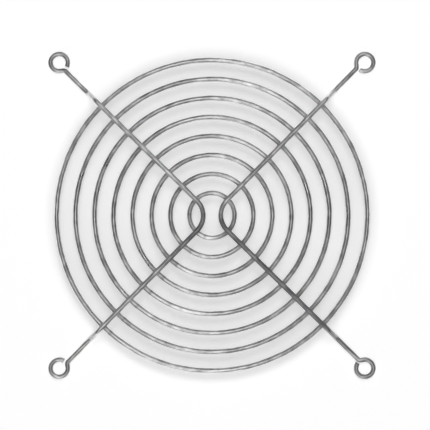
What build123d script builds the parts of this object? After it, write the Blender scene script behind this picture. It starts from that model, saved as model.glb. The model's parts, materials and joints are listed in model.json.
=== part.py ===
from build123d import *
import math
import os

# A welded wire guard for a 120 mm square axial fan. Eight closed rings hang under two
# bent support wires, and each support wire ends in two eyes for the fan's screws.
# The eyes lie on the fan at Z = 0, the guard's centre is the origin, and +Z points
# away from the fan. Every size is in millimetres.

# What the guard has to fit
screw_spacing = 105.0        # between the fan's screw holes, along X and along Y
screw_to_ring = 21.1         # room for a step and an eye, from a screw to the outer ring
eye_hole = 4.2               # hole in each eye, for an M4 screw
guard_height = 6.0           # from the fan's face to the top of the support wires

# Rings
ring_wire = 1.75
ring_count = 8
inner_ring_radius = 7.7      # to the middle of the wire

# Support wires
support_wire = 1.75
centre_bend_radius = 7.2     # to the middle of the wire
weld_set_down = 0.3          # how far each ring is pressed into a support wire

# Step that carries each leg down from the rings to the fan's face
step_slope = 45.0            # in degrees from the fan's face
step_bend_radius = 2.0       # to the middle of the wire
step_clearance = 0.8         # along the leg, from the outer ring to the start of the step

# Eyes
eye_offset = 0.6             # from the middle of the leg to the middle of the eye
eye_neck_radius = 1.6        # of the bend that leads into the eye, to the middle of the wire
eye_end_gap = 0.7            # between the wire's cut end and the neck

# The wires are round. Their section is drawn with flats that touch the round, one of
# them level, which keeps a part with this much wire light.
wire_flats = 8

# Heights of the wires' middles
eye_height = support_wire / 2
support_height = guard_height - support_wire / 2
ring_height = support_height - (support_wire + ring_wire) / 2 + weld_set_down

# The outer ring's radius is set by the screws, and the other rings share out the rest
screw_distance = screw_spacing / math.sqrt(2)
outer_ring_radius = screw_distance - screw_to_ring
ring_pitch = (outer_ring_radius - inner_ring_radius) / (ring_count - 1)

# A leg runs straight out from the guard's centre, and the eye lies to the right of it,
# so the leg is turned a little to the left of the line to its screw.
leg_turn = math.degrees(math.asin(eye_offset / screw_distance))
eye_along = math.sqrt(screw_distance**2 - eye_offset**2)

# The step, by how far out the leg's middle line turns down and turns level again
step_tangent = step_bend_radius * math.tan(math.radians(step_slope / 2))
step_top = outer_ring_radius + ring_wire / 2 + step_clearance + step_tangent
step_foot = step_top + (support_height - eye_height) / math.tan(math.radians(step_slope))

# The neck bends to the left and runs into the eye, which then closes to the right.
# neck_swing is where the two touch, as an angle off the leg seen from the eye's middle.
eye_radius = (eye_hole + support_wire) / 2
neck_to_eye = eye_neck_radius + eye_radius
neck_swing = math.degrees(math.asin((eye_neck_radius + eye_offset) / neck_to_eye))
neck_along = eye_along - neck_to_eye * math.cos(math.radians(neck_swing))

# The eye goes round until the outer corner of the cut end stands off the neck by the gap
corner_radius = eye_radius + support_wire / 2
corner_reach = eye_neck_radius + support_wire / 2 + eye_end_gap
corner_cosine = (corner_radius**2 + neck_to_eye**2 - corner_reach**2) / (2 * corner_radius * neck_to_eye)
eye_wrap = 360 - math.degrees(math.acos(corner_cosine))


def wire_section(diameter):
    """The section of a round wire, in the sketch that is open."""
    RegularPolygon(diameter / 2, wire_flats, major_radius=False, rotation=180 / wire_flats)


def leg_point(heading, along, left, height):
    """A point by how far it lies along a leg, to the left of it, and above the fan."""
    return Vector(along, left, height).rotate(Axis.Z, heading)


def leg_corners(heading):
    """The corners of a leg's straight runs, from its eye inwards."""
    return [
        leg_point(heading, neck_along, 0, eye_height),
        leg_point(heading, step_foot, 0, eye_height),
        leg_point(heading, step_top, 0, support_height),
    ]


def draw_eye(heading):
    """The neck and the eye at the end of a leg, in the line that is open."""
    neck_middle = leg_point(heading, neck_along, eye_neck_radius, eye_height)
    eye_middle = leg_point(heading, eye_along, -eye_offset, eye_height)
    CenterArc(neck_middle, eye_neck_radius, heading - 90, 90 - neck_swing)
    CenterArc(eye_middle, eye_radius, heading + 180 - neck_swing, -eye_wrap)


os.makedirs("parts", exist_ok=True)

# Left support wire: one length of wire from eye to eye, bent back on itself at the
# guard's centre. The legs head for the two screws on the left.
upper_heading = 135 + leg_turn
lower_heading = 225 + leg_turn
with BuildPart() as support_wire_left:
    with BuildLine() as middle_line:
        FilletPolyline(
            *leg_corners(upper_heading),
            (0, 0, support_height),
            *reversed(leg_corners(lower_heading)),
            radius=[step_bend_radius, step_bend_radius, centre_bend_radius, step_bend_radius, step_bend_radius],
        )
        draw_eye(upper_heading)
        draw_eye(lower_heading)
    path = middle_line.wire()
    with BuildSketch(Plane(origin=path @ 0, x_dir=(0, 0, 1), z_dir=path % 0)):
        wire_section(support_wire)
    sweep(path=path)
support_wire_left.part.label = "support_wire_left"
export_step(support_wire_left.part, "parts/support_wire_left.step")

# Right support wire: the same bent wire, half a turn round
with BuildPart() as support_wire_right:
    add(support_wire_left.part, rotation=(0, 0, 180))
support_wire_right.part.label = "support_wire_right"
export_step(support_wire_right.part, "parts/support_wire_right.step")

# Rings, numbered from the centre outwards. Each is welded to the four legs, which are
# pressed into its top.
for number in range(1, ring_count + 1):
    ring_radius = inner_ring_radius + (number - 1) * ring_pitch
    with BuildPart() as ring:
        with BuildSketch(Plane.XZ):
            with Locations((ring_radius, ring_height)):
                wire_section(ring_wire)
        revolve(axis=Axis.Z)
        add([support_wire_left.part, support_wire_right.part], mode=Mode.SUBTRACT)
    ring.part.label = f"ring_{number}"
    export_step(ring.part, f"parts/ring_{number}.step")
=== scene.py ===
import json
import math
from collections import namedtuple

import bpy
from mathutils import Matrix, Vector, noise


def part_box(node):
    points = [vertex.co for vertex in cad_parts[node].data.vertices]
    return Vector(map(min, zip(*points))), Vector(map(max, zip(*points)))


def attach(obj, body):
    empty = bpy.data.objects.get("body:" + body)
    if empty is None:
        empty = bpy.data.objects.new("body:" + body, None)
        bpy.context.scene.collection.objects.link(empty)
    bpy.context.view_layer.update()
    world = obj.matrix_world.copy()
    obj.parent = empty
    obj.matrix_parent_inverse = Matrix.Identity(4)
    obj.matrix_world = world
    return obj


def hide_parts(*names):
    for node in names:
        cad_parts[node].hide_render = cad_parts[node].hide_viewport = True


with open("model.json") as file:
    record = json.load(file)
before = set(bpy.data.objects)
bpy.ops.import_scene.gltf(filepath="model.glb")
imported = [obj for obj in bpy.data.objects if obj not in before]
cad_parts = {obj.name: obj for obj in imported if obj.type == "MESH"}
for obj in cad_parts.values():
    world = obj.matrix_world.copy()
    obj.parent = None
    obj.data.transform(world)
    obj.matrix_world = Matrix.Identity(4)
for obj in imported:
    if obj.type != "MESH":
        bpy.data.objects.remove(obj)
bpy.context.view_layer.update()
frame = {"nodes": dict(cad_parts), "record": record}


# Rings. Eight hoops of drawn steel wire, each rolled to a circle and butt-welded shut.
# They lie in one plane under the support wires, a little out of true as such hoops are,
# and are plated bright with the rest of the guard after it is welded.
ring_names = sorted(name for name in frame["nodes"] if name.startswith("ring_"))
ring_low, ring_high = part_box(ring_names[0])
ring_wire = ring_high.z - ring_low.z
ring_level = (ring_high.z + ring_low.z) / 2
wire_sides = 36               # of the mesh, round a wire
ring_step = 0.0008            # along the wire, from one station of the mesh to the next
ring_wander = 0.00006         # how far a hoop strays from a true circle
wander_scale = 1.3            # the higher, the more often a hoop strays in and out
wander_apart = 7.1            # between two hoops, so that each strays in its own way
butt_weld_swell = 0.00005     # on the wire's radius, where a hoop's ends meet
butt_weld_length = 0.0006
butt_weld_past_leg = 0.0034   # along the hoop, from the lower left leg to the joint
butt_weld_shade = 0.5         # how dark the plate is at the joint, from 0 to 1
ring_weld_tint_and_shade = 0.8         # how dark it is painted at the welds to the legs: weld tint, with painted shade where the wires cross
weld_reach = 0.0012           # along a wire, how far the darkening at a weld reaches
electrode_mark = 0.00006      # how deep the welding electrodes flatten the wires
mark_reach = 0.0011           # along a wire, how far such a flat goes
coil_length = 0.4             # of wire on the coil between the starts of two pieces

# The legs head a little to the left of the screws, because each eye is offset from its leg.
screws = next(mount for mount in frame["record"]["mounts"] if mount["name"] == "fan_screws")
screw_distance = screws["dims"]["spacing_x_mm"] / 1000 / math.sqrt(2)
eye_offset = 0.0006
leg_turn = math.asin(eye_offset / screw_distance)
headings = {
    "upper_right": math.radians(45) + leg_turn,
    "upper_left": math.radians(135) + leg_turn,
    "lower_left": math.radians(225) + leg_turn,
    "lower_right": math.radians(315) + leg_turn,
}

# A station is a place along a wire where its section is set: the section's middle, its two
# axes and its radius, the distance along the coil, how dark it is painted there for weld tint
# and painted shade, and how deep an electrode has flattened the wire's top and its underside.
Station = namedtuple("Station", "middle side up radius distance shade top_flat under_flat")


def fades(distance, reach):
    """From 1 at a mark on the wire to 0 well away from it."""
    return math.exp(-(distance / reach) ** 2)


def loft_wire(name, stations, closed):
    """A mesh of round wire, lofted through its stations.

    Its UV map is the wire unrolled, in millimetres along the coil and turns round the wire.
    """
    corners, faces, unrolled, shades = [], [], [], []
    for station in stations:
        lowest = station.under_flat - station.radius
        highest = station.radius - station.top_flat
        for k in range(wire_sides):
            turn = math.tau * k / wire_sides
            aside = math.cos(turn) * station.radius
            height = min(max(math.sin(turn) * station.radius, lowest), highest)
            corners.append(station.middle + station.side * aside + station.up * height)
        shades += [station.shade] * wire_sides
    spans = len(stations) if closed else len(stations) - 1
    for i in range(spans):
        j = (i + 1) % len(stations)
        start = stations[i].distance
        # The last span of a closed wire is as long as the one before it
        end = stations[j].distance if j else start + (start - stations[i - 1].distance)
        for k in range(wire_sides):
            m = (k + 1) % wire_sides
            faces.append((i * wire_sides + k, i * wire_sides + m, j * wire_sides + m, j * wire_sides + k))
            round_k, round_m = k / wire_sides, (k + 1) / wire_sides
            unrolled += [(start, round_k), (start, round_m), (end, round_m), (end, round_k)]
    if not closed:
        last = (len(stations) - 1) * wire_sides
        faces.append(tuple(reversed(range(wire_sides))))
        faces.append(tuple(range(last, last + wire_sides)))
        unrolled += [(stations[0].distance, k / wire_sides) for k in reversed(range(wire_sides))]
        unrolled += [(stations[-1].distance, k / wire_sides) for k in range(wire_sides)]
    mesh = bpy.data.meshes.new(name)
    mesh.from_pydata(corners, [], faces)
    along_and_round = mesh.uv_layers.new(name="along_and_round")
    for corner, (distance, turn) in zip(along_and_round.data, unrolled):
        corner.uv = (distance * 1000, turn)
    # Each station's darkness, weld tint and painted shade, goes to the material as an attribute
    mesh.attributes.new("weld_tint_and_painted_shade", "FLOAT", "POINT").data.foreach_set("value", shades)
    mesh.polygons.foreach_set("use_smooth", [True] * len(faces))
    piece = bpy.data.objects.new(name, mesh)
    bpy.context.scene.collection.objects.link(piece)
    return piece


def hoop_stations(radius, number):
    """The stations of one hoop, all the way round from the joint between its ends."""
    count = round(math.tau * radius / ring_step)
    joint = headings["lower_left"] + butt_weld_past_leg / radius
    stations = []
    for i in range(count):
        past_joint = math.tau * i / count
        angle = joint + past_joint
        outward = Vector((math.cos(angle), math.sin(angle), 0))
        wander_place = (outward.x * wander_scale, outward.y * wander_scale, number * wander_apart)
        stray = ring_wander * noise.noise(Vector(wander_place))
        at_joint = fades(min(past_joint, math.tau - past_joint) * radius, butt_weld_length)
        off_legs = [abs(math.remainder(angle - heading, math.tau)) for heading in headings.values()]
        to_leg = min(off_legs) * radius
        stations.append(Station(
            middle=outward * (radius + stray) + Vector((0, 0, ring_level)),
            side=-outward,
            up=Vector((0, 0, 1)),
            radius=ring_wire / 2 + butt_weld_swell * at_joint,
            distance=coil_length * number + radius * past_joint,
            # Weld tint with painted shade at the crossings, and the butt weld's tint at the joint
            shade=max(ring_weld_tint_and_shade * fades(to_leg, weld_reach), butt_weld_shade * at_joint),
            top_flat=0.0,
            under_flat=electrode_mark * fades(to_leg, mark_reach),
        ))
    return stations


def new_node(tree, kind, inputs=None, **settings):
    """A shader node with its settings. Each input takes a value or another node's output."""
    node = tree.nodes.new(kind)
    for setting, value in settings.items():
        setattr(node, setting, value)
    for socket, value in (inputs or {}).items():
        if isinstance(value, bpy.types.NodeSocket):
            tree.links.new(value, node.inputs[socket])
        else:
            node.inputs[socket].default_value = value
    return node


# The plate's tone runs along the wire in streaks, and its shine varies in soft clouds. A
# scale is how many waves of a pattern fit in the length that stands beside it.
streak_scale = (0.28, 0.6, 0.6)            # in a millimetre along the wire, and in a radius across it
streak_tints = (0.64, 1.26)                # darkest and lightest, as shares of the plate's tint
darkest_tint_and_shade = (0.42, 0.415, 0.415, 1)    # where the weld tint and painted shade is 1, as shares of the streaks' colour
darkest_dulling = 0.06                     # on the roughness there
cloud_scale = 130                          # in a metre
cloud_dulling = 0.03                       # either way on the roughness
ripple_scale = 210                         # in a metre
ripple_depth = 0.0002
draw_mark_scale = (0.12, 34, 1)            # in a millimetre along the wire, and in a turn round it
draw_mark_depth = 0.00001


def plate_colour(tree, place, shade, tint):
    """The tint in streaks along the wire, which have no seam round it, darkened by the weld tint and
    painted shade.
    """
    unrolled = new_node(tree, "ShaderNodeSeparateXYZ", {"Vector": place.outputs["UV"]})
    turn = new_node(tree, "ShaderNodeMath", {0: unrolled.outputs["Y"], 1: math.tau}, operation="MULTIPLY")
    aside = new_node(tree, "ShaderNodeMath", {0: turn.outputs[0]}, operation="COSINE")
    above = new_node(tree, "ShaderNodeMath", {0: turn.outputs[0]}, operation="SINE")
    on_wire = new_node(tree, "ShaderNodeCombineXYZ", {
        "X": unrolled.outputs["X"],
        "Y": aside.outputs[0],
        "Z": above.outputs[0],
    })
    lengthened = new_node(tree, "ShaderNodeMapping", {
        "Vector": on_wire.outputs["Vector"],
        "Scale": streak_scale,
    })
    streaks = new_node(tree, "ShaderNodeTexNoise", {
        "Vector": lengthened.outputs["Vector"],
        "Scale": 1,
        "Detail": 2,
    })
    spread = new_node(tree, "ShaderNodeMapRange", {
        "Value": streaks.outputs["Fac"],
        "From Min": 0.34,
        "From Max": 0.66,
    })
    dark, light = ([channel * share for channel in tint] for share in streak_tints)
    streaked = new_node(tree, "ShaderNodeMix", {
        "Factor": spread.outputs["Result"],
        "A": (*dark, 1),
        "B": (*light, 1),
    }, data_type="RGBA")
    darkened = new_node(tree, "ShaderNodeMix", {
        "Factor": shade.outputs["Fac"],
        "A": streaked.outputs["Result"],
        "B": darkest_tint_and_shade,
    }, data_type="RGBA", blend_type="MULTIPLY")
    return darkened.outputs["Result"]


def plate_roughness(tree, place, shade, dull):
    """Clouds of more and less shine, duller where the weld tint and painted shade darken the wire."""
    clouds = new_node(tree, "ShaderNodeTexNoise", {
        "Vector": place.outputs["Object"],
        "Scale": cloud_scale,
        "Detail": 3,
    })
    shine = new_node(tree, "ShaderNodeMapRange", {
        "Value": clouds.outputs["Fac"],
        "From Min": 0.3,
        "From Max": 0.7,
        "To Min": dull - cloud_dulling,
        "To Max": dull + cloud_dulling,
    })
    dulled = new_node(tree, "ShaderNodeMath", {
        0: shade.outputs["Fac"],
        1: darkest_dulling,
        2: shine.outputs["Result"],
    }, operation="MULTIPLY_ADD")
    return dulled.outputs[0]


def plate_relief(tree, place):
    """Slight ripples in the plate, over the fine marks that drawing leaves along the wire."""
    ripple = new_node(tree, "ShaderNodeTexNoise", {
        "Vector": place.outputs["Object"],
        "Scale": ripple_scale,
        "Detail": 1,
    })
    rippled = new_node(tree, "ShaderNodeBump", {
        "Height": ripple.outputs["Fac"],
        "Strength": 1.0,
        "Distance": ripple_depth,
    })
    lengthened = new_node(tree, "ShaderNodeMapping", {
        "Vector": place.outputs["UV"],
        "Scale": draw_mark_scale,
    })
    draw_marks = new_node(tree, "ShaderNodeTexNoise", {
        "Vector": lengthened.outputs["Vector"],
        "Scale": 1,
        "Detail": 2,
    })
    drawn = new_node(tree, "ShaderNodeBump", {
        "Height": draw_marks.outputs["Fac"],
        "Strength": 0.25,
        "Distance": draw_mark_depth,
        "Normal": rippled.outputs["Normal"],
    })
    return drawn.outputs["Normal"]


def plated_finish(name, tint, dull):
    """Bright plate over drawn wire."""
    finish = bpy.data.materials.new(name)
    finish.use_nodes = True
    tree = finish.node_tree
    place = new_node(tree, "ShaderNodeTexCoord")
    shade = new_node(tree, "ShaderNodeAttribute", attribute_name="weld_tint_and_painted_shade")
    plate = tree.nodes["Principled BSDF"]
    plate.inputs["Metallic"].default_value = 1.0
    tree.links.new(plate_colour(tree, place, shade, tint), plate.inputs["Base Color"])
    tree.links.new(plate_roughness(tree, place, shade, dull), plate.inputs["Roughness"])
    tree.links.new(plate_relief(tree, place), plate.inputs["Normal"])
    return finish


ring_finish = plated_finish("plated_ring_wire", (0.745, 0.74, 0.74), 0.30)
ring_radii = []
for number, name in enumerate(ring_names, start=1):
    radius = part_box(name)[1].x - ring_wire / 2
    ring_radii.append(radius)
    ring = loft_wire(f"hoop_{number}", hoop_stations(radius, number), closed=True)
    ring.data.materials.append(ring_finish)
    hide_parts(name)
    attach(ring, "root")


# Support wires. Two lengths of the same wire, each bent back on itself at the guard's
# centre, stepped down outside the rings and closed into an open eye at both ends. They
# lie across the rings and are pressed into them by the welding.
support_legs = {
    "support_wire_left": ("upper_left", "lower_left"),
    "support_wire_right": ("lower_right", "upper_right"),
}
support_wire = ring_wire
support_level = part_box("support_wire_left")[1].z - support_wire / 2
eye_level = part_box("support_wire_left")[0].z + support_wire / 2
eye_hole = 2 * screws["dims"]["hole_r_mm"] / 1000
centre_bend_radius = 0.0072
step_slope = math.radians(45)
step_bend_radius = 0.002
step_clearance = 0.0008       # along the leg, from the outer ring to the start of the step
eye_neck_radius = 0.0016      # of the bend that leads into the eye
eye_end_gaps = {"upper_left": 0.0007, "lower_left": 0.0005, "lower_right": 0.0002, "upper_right": 0.0003}
end_bevel = 0.00014           # along the wire and off its radius, at a cut end
bevel_shares = (0, 0.3, 0.6, 1)    # how far in from the face, for each station of the bevel
straight_step = 0.0005        # from one station to the next on a straight run
bend_step = math.radians(6)

# Painted reflection on each leg, darker on the lower legs where they show darker reflections: how dark
# each is painted by the centre, by the outer ring and at the eye
painted_leg_reflections = {
    "upper_left": (0.18, 0.18, 0.3),
    "lower_left": (0.95, 0.0, 0.3),
    "lower_right": (0.95, 1.0, 0.45),
    "upper_right": (0.0, 0.0, 0.25),
}
leg_reflection_blend = 0.008       # at the centre bend, from the upper leg's painted reflection to the lower leg's
leg_weld_tint_and_shade = 0.25         # how dark a leg is painted at its welds, if no darker already: weld tint, with painted shade where the wires cross

outer_ring_radius = max(ring_radii)
eye_radius = (eye_hole + support_wire) / 2
eye_along = math.sqrt(screw_distance ** 2 - eye_offset ** 2)
step_tangent = step_bend_radius * math.tan(step_slope / 2)
step_top = outer_ring_radius + ring_wire / 2 + step_clearance + step_tangent
step_foot = step_top + (support_level - eye_level) / math.tan(step_slope)
neck_to_eye = eye_neck_radius + eye_radius
neck_swing = math.asin((eye_neck_radius + eye_offset) / neck_to_eye)
neck_along = eye_along - neck_to_eye * math.cos(neck_swing)


def arc(middle, radius, start, sweep):
    """The points of a bend, its two ends included, in two coordinates."""
    count = max(2, round(abs(sweep) / bend_step))
    points = []
    for i in range(count + 1):
        angle = start + sweep * i / count
        points.append((middle[0] + radius * math.cos(angle), middle[1] + radius * math.sin(angle)))
    return points


def eye_wrap(gap):
    """How far round the eye goes, for a gap from its cut end to the neck."""
    corner = eye_radius + support_wire / 2
    reach = eye_neck_radius + support_wire / 2 + gap
    corner_cosine = (corner ** 2 + neck_to_eye ** 2 - reach ** 2) / (2 * corner * neck_to_eye)
    return math.tau - math.acos(corner_cosine)


def leg_line(gap):
    """The middle line of a leg from its cut end inwards, as (along, left, height)."""
    eye = arc((eye_along, -eye_offset), eye_radius, math.pi - neck_swing, -eye_wrap(gap))
    neck = arc((neck_along, eye_neck_radius), eye_neck_radius, -math.pi / 2, math.pi / 2 - neck_swing)
    foot_middle = (step_foot + step_tangent, eye_level + step_bend_radius)
    foot = arc(foot_middle, step_bend_radius, -math.pi / 2, -step_slope)
    top_middle = (step_top - step_tangent, support_level - step_bend_radius)
    top = arc(top_middle, step_bend_radius, math.pi / 2 - step_slope, step_slope)
    line = [(along, left, eye_level) for along, left in eye[::-1] + neck[::-1]]
    line += [(along, 0, height) for along, height in foot + top]
    line.append((centre_bend_radius, 0, support_level))
    return line


def turned(point, heading):
    """A point that is given as (along, left, height) of a leg, where it lies in the guard."""
    along, left, height = point
    return Vector((
        along * math.cos(heading) - left * math.sin(heading),
        along * math.sin(heading) + left * math.cos(heading),
        height,
    ))


def support_line(first, second):
    """The middle line of a support wire, from the cut end of its first leg to that of its second."""
    line = [turned(point, headings[first]) for point in leg_line(eye_end_gaps[first])]
    bend_middle = (centre_bend_radius, centre_bend_radius)
    bend = arc(bend_middle, centre_bend_radius, -math.pi / 2, -math.pi / 2)
    line += [turned((along, left, support_level), headings[first]) for along, left in bend[1:-1]]
    line += [turned(point, headings[second]) for point in reversed(leg_line(eye_end_gaps[second]))]
    return line


def divided(line):
    """The same line with points added on its straight runs, and only one where two bends meet."""
    points = [line[0]]
    for start, end in zip(line, line[1:]):
        run = (end - start).length
        if run < straight_step / 100:
            continue
        count = max(1, round(run / straight_step))
        points += [start.lerp(end, i / count) for i in range(1, count + 1)]
    return points


def painted_leg_reflection(middle):
    """How dark a place on a support wire is painted, away from its welds: a painted reflection, darker on
    the lower legs.
    """
    side = "left" if middle.x < 0 else "right"
    distance = middle.xy.length
    to_rim = min(distance / outer_ring_radius, 1)
    past_rim = min(max((distance - outer_ring_radius) / (screw_distance - outer_ring_radius), 0), 1)
    low_share = min(max(0.5 - middle.y / leg_reflection_blend, 0), 1)
    shade = 0.0
    for leg, share in ((f"upper_{side}", 1 - low_share), (f"lower_{side}", low_share)):
        at_centre, at_rim, at_eye = painted_leg_reflections[leg]
        shade += share * (at_centre + (at_rim - at_centre) * to_rim + (at_eye - at_rim) * past_rim)
    return shade


def rounded_end(station, inward):
    """Stations that round off a cut end, from its face inwards."""
    return [
        station._replace(
            middle=station.middle + inward * end_bevel * share,
            radius=station.radius - end_bevel * (1 - share) ** 2,
        )
        for share in bevel_shares
    ]


def support_stations(line, distance):
    """The stations along a support wire, which starts at that distance along the coil."""
    points = divided(line)
    stations = []
    for i, middle in enumerate(points):
        before, after = points[max(i - 1, 0)], points[min(i + 1, len(points) - 1)]
        ahead = (after - before).normalized()
        side = Vector((0, 0, 1)).cross(ahead).normalized()
        distance += (middle - before).length
        to_ring = min(abs(middle.xy.length - radius) for radius in ring_radii)
        stations.append(Station(
            middle=middle,
            side=side,
            up=ahead.cross(side),
            radius=support_wire / 2,
            distance=distance,
            # Weld tint with painted shade at the crossings, or the leg's painted reflection, whichever is
            # darker
            shade=max(leg_weld_tint_and_shade * fades(to_ring, weld_reach), painted_leg_reflection(middle)),
            top_flat=electrode_mark * fades(to_ring, mark_reach),
            under_flat=0.0,
        ))
    first, *between, last = stations
    start = rounded_end(first, first.side.cross(first.up))
    end = rounded_end(last, last.up.cross(last.side))
    return start + between + end[::-1]


# The support wires' tint is lighter than the rings', a painted reflection that brightens the upper right
# leg; the other legs are painted darker again
support_finish = plated_finish("plated_support_wire", (0.79, 0.785, 0.785), 0.30)
for number, (name, legs) in enumerate(support_legs.items(), start=len(ring_names) + 1):
    stations = support_stations(support_line(*legs), coil_length * number)
    support = loft_wire(name.replace("support_wire", "bent_wire"), stations, closed=False)
    support.data.materials.append(support_finish)
    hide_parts(name)
    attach(support, "root")


# Welds. Each ring is resistance-welded to the four legs. The wires sink into each other
# there, and the metal that they squeeze out stands round the joint as a small collar.
collar_sides = 32
collar_rows = 6
collar_height = 0.00026       # between the two wires, at the collar's outer edge
collar_unevenness = 0.35      # either way, as a share of that height
unevenness_scale = 1.4        # the higher, the more lumps round a collar
collar_waist = 0.00008        # how far the collar's side is hollowed
collar_seat = 0.00002         # how far its edges are sunk into the wires
edge_halvings = 30            # of the search for its outer edge
weld_level = (support_level - support_wire / 2 + ring_level + ring_wire / 2) / 2


def wire_levels(out, across, radius):
    """The top of a ring and the underside of the leg over it, at a place beside their crossing."""
    from_ring = min(abs(math.hypot(radius + out, across) - radius), ring_wire / 2)
    from_leg = min(abs(across), support_wire / 2)
    ring_top = ring_level + math.sqrt((ring_wire / 2) ** 2 - from_ring ** 2)
    leg_under = support_level - math.sqrt((support_wire / 2) ** 2 - from_leg ** 2)
    return ring_top, leg_under


def collar_reach(turn, radius, height):
    """How far from the crossing the two wires stand apart by the collar's height."""
    near, far = 0.0, support_wire
    for _ in range(edge_halvings):
        middle = (near + far) / 2
        ring_top, leg_under = wire_levels(middle * math.cos(turn), middle * math.sin(turn), radius)
        if leg_under - ring_top < height:
            near = middle
        else:
            far = middle
    return near


def add_collar(corners, faces, heading, radius):
    """One collar: its hollowed side, and two lids inside the wires that close it."""
    first = len(corners)
    edges = []
    for k in range(collar_sides):
        turn = math.tau * k / collar_sides
        toward = Vector((math.cos(turn), math.sin(turn), 0))
        uneven = noise.noise(toward * unevenness_scale + Vector((heading, radius * 1000, 0)))
        edge = collar_reach(turn, radius, collar_height * (1 + collar_unevenness * uneven))
        ring_top, leg_under = wire_levels(edge * toward.x, edge * toward.y, radius)
        edges.append((toward, edge, ring_top - collar_seat, leg_under + collar_seat))
    for row in range(collar_rows + 1):
        share = row / collar_rows
        for toward, edge, low, high in edges:
            reach = edge - collar_waist * 4 * share * (1 - share)
            level = low + (high - low) * share
            corners.append(turned((radius + reach * toward.x, reach * toward.y, level), heading))
    corners.append(turned((radius, 0, weld_level - collar_seat), heading))
    corners.append(turned((radius, 0, weld_level + collar_seat), heading))
    last = first + collar_rows * collar_sides
    for k in range(collar_sides):
        m = (k + 1) % collar_sides
        for row in range(first, last, collar_sides):
            faces.append((row + k, row + m, row + collar_sides + m, row + collar_sides + k))
        faces.append((first + m, first + k, len(corners) - 2))
        faces.append((last + k, last + m, len(corners) - 1))


weld_finish = plated_finish("plated_welds", (0.62, 0.615, 0.615), 0.30)
for name, legs in support_legs.items():
    corners, faces = [], []
    for leg in legs:
        for radius in ring_radii:
            add_collar(corners, faces, headings[leg], radius)
    mesh = bpy.data.meshes.new(name.replace("support_wire", "weld_collars"))
    mesh.from_pydata(corners, [], faces)
    mesh.polygons.foreach_set("use_smooth", [True] * len(faces))
    mesh.materials.append(weld_finish)
    collars = bpy.data.objects.new(mesh.name, mesh)
    bpy.context.scene.collection.objects.link(collars)
    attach(collars, "root")


# Floor. A plain white sweep that the guard lies on, on its four eyes. It is lit from
# above, and glows a little besides so that it shows pale; under the guard it glows less, a painted shade.
floor_radius = 1.6
floor_sides = 96
sweep_white = (0.88, 0.88, 0.88, 1)
# Under the guard the glow is lower, painted shade over the floor there
shaded_glow_under_guard, glow_outside = 0.41, 0.62
painted_shade_fades_from = 0.0535    # from the guard's centre
painted_shade_gone_at = 0.0590

floor_edge = []
for i in range(floor_sides):
    turn = math.tau * i / floor_sides
    floor_edge.append((floor_radius * math.cos(turn), floor_radius * math.sin(turn), 0))
floor_mesh = bpy.data.meshes.new("floor")
floor_mesh.from_pydata(floor_edge, [], [tuple(range(floor_sides))])
floor = bpy.data.objects.new("floor", floor_mesh)
bpy.context.scene.collection.objects.link(floor)


def white_sweep():
    """Matt white paper. Its glow shows to the camera and in the plating, and lights nothing; it is lower
    under the guard, a painted shade.
    """
    paper = bpy.data.materials.new("white_sweep")
    paper.use_nodes = True
    tree = paper.node_tree
    tree.nodes.clear()
    rays = new_node(tree, "ShaderNodeLightPath")
    mirrored = new_node(tree, "ShaderNodeMath", {
        0: rays.outputs["Is Glossy Ray"],
        1: rays.outputs["Is Transmission Ray"],
    }, operation="ADD")
    seen = new_node(tree, "ShaderNodeMath", {
        0: rays.outputs["Is Camera Ray"],
        1: mirrored.outputs[0],
    }, operation="ADD")
    place = new_node(tree, "ShaderNodeTexCoord")
    from_centre = new_node(tree, "ShaderNodeVectorMath", {0: place.outputs["Object"]}, operation="LENGTH")
    glow_with_painted_shade = new_node(tree, "ShaderNodeMapRange", {
        "Value": from_centre.outputs["Value"],
        "From Min": painted_shade_fades_from,
        "From Max": painted_shade_gone_at,
        "To Min": shaded_glow_under_guard,
        "To Max": glow_outside,
    }, interpolation_type="SMOOTHSTEP")
    strength = new_node(tree, "ShaderNodeMath", {
        0: seen.outputs[0],
        1: glow_with_painted_shade.outputs["Result"],
    }, operation="MULTIPLY")
    matt = new_node(tree, "ShaderNodeBsdfDiffuse", {"Color": sweep_white})
    glow = new_node(tree, "ShaderNodeEmission", {"Color": (1, 1, 1, 1), "Strength": strength.outputs[0]})
    both = new_node(tree, "ShaderNodeAddShader", {0: matt.outputs[0], 1: glow.outputs[0]})
    new_node(tree, "ShaderNodeOutputMaterial", {"Surface": both.outputs[0]})
    return paper


floor_mesh.materials.append(white_sweep())


# Light. A long strip of soft light hangs over the guard, a little turned from the
# picture's upright, and a lamp beyond the top of the picture lights the sweep and gives
# the guard its shadow. The room is dark to both sides, and the sweep ends pale.
strip_azimuth = math.radians(76)
pale_height = 0.05            # up to which the room shows the pale end of the sweep
dark_height = 0.17            # from which it is dark, where 1 is straight overhead


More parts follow.
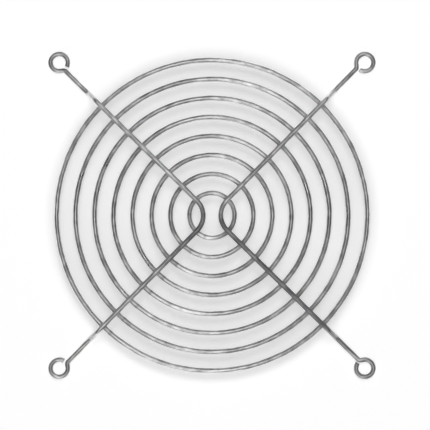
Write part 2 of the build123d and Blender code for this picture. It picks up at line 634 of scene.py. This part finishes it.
def soft_lamp(name, azimuth, elevation, distance, width, length, level, mirrored):
    """A rectangle of light that faces the guard. It shows in the plating if it is mirrored."""
    lamp = bpy.data.lights.new(name, "AREA")
    lamp.shape = "RECTANGLE"
    lamp.size, lamp.size_y = width, length
    lamp.energy = level * math.pi * width * length
    box = bpy.data.objects.new(name, lamp)
    box.location = Vector((
        math.cos(azimuth) * math.cos(elevation),
        math.sin(azimuth) * math.cos(elevation),
        math.sin(elevation),
    )) * distance
    box.rotation_euler = (math.pi / 2 - elevation, 0, azimuth + math.pi / 2)
    box.visible_camera = False
    box.visible_glossy = mirrored
    bpy.context.scene.collection.objects.link(box)


soft_lamp(
    "overhead_strip", azimuth=strip_azimuth + math.pi, elevation=math.radians(74), distance=1.0,
    width=0.45, length=4.8, level=1.2, mirrored=True,
)
soft_lamp(
    "sweep_lamp", azimuth=math.radians(88), elevation=math.radians(55), distance=1.0,
    width=0.35, length=0.3, level=4.6, mirrored=False,
)

world = bpy.data.worlds.new("studio")
bpy.context.scene.world = world
world.use_nodes = True
air = world.node_tree.nodes["Background"]
air.inputs["Strength"].default_value = 1.0
direction = new_node(world.node_tree, "ShaderNodeTexCoord")
split = new_node(world.node_tree, "ShaderNodeSeparateXYZ", {"Vector": direction.outputs["Generated"]})
room = new_node(world.node_tree, "ShaderNodeValToRGB", {"Fac": split.outputs["Z"]})
pale, dark = room.color_ramp.elements
pale.position, pale.color = pale_height, (1, 1, 1, 1)
dark.position, dark.color = dark_height, (0.05, 0.05, 0.05, 1)
world.node_tree.links.new(room.outputs["Color"], air.inputs["Color"])


# Camera. It looks straight down on the guard, from as far as the legs' foreshortening in
# the photograph suggests, and the guard lies a little off the picture's middle.
picture_width = 0.14779       # at the height of the eyes
picture_middle = (0.00103, 0.00014)
camera_distance = 0.6         # above the eyes
lens = bpy.data.cameras.new("camera")
lens.sensor_width = 36
lens.lens = lens.sensor_width * camera_distance / picture_width
camera = bpy.data.objects.new("camera", lens)
camera.location = (*picture_middle, eye_level + camera_distance)
bpy.context.scene.collection.objects.link(camera)
bpy.context.scene.camera = camera

bpy.context.scene.view_settings.view_transform = "Standard"
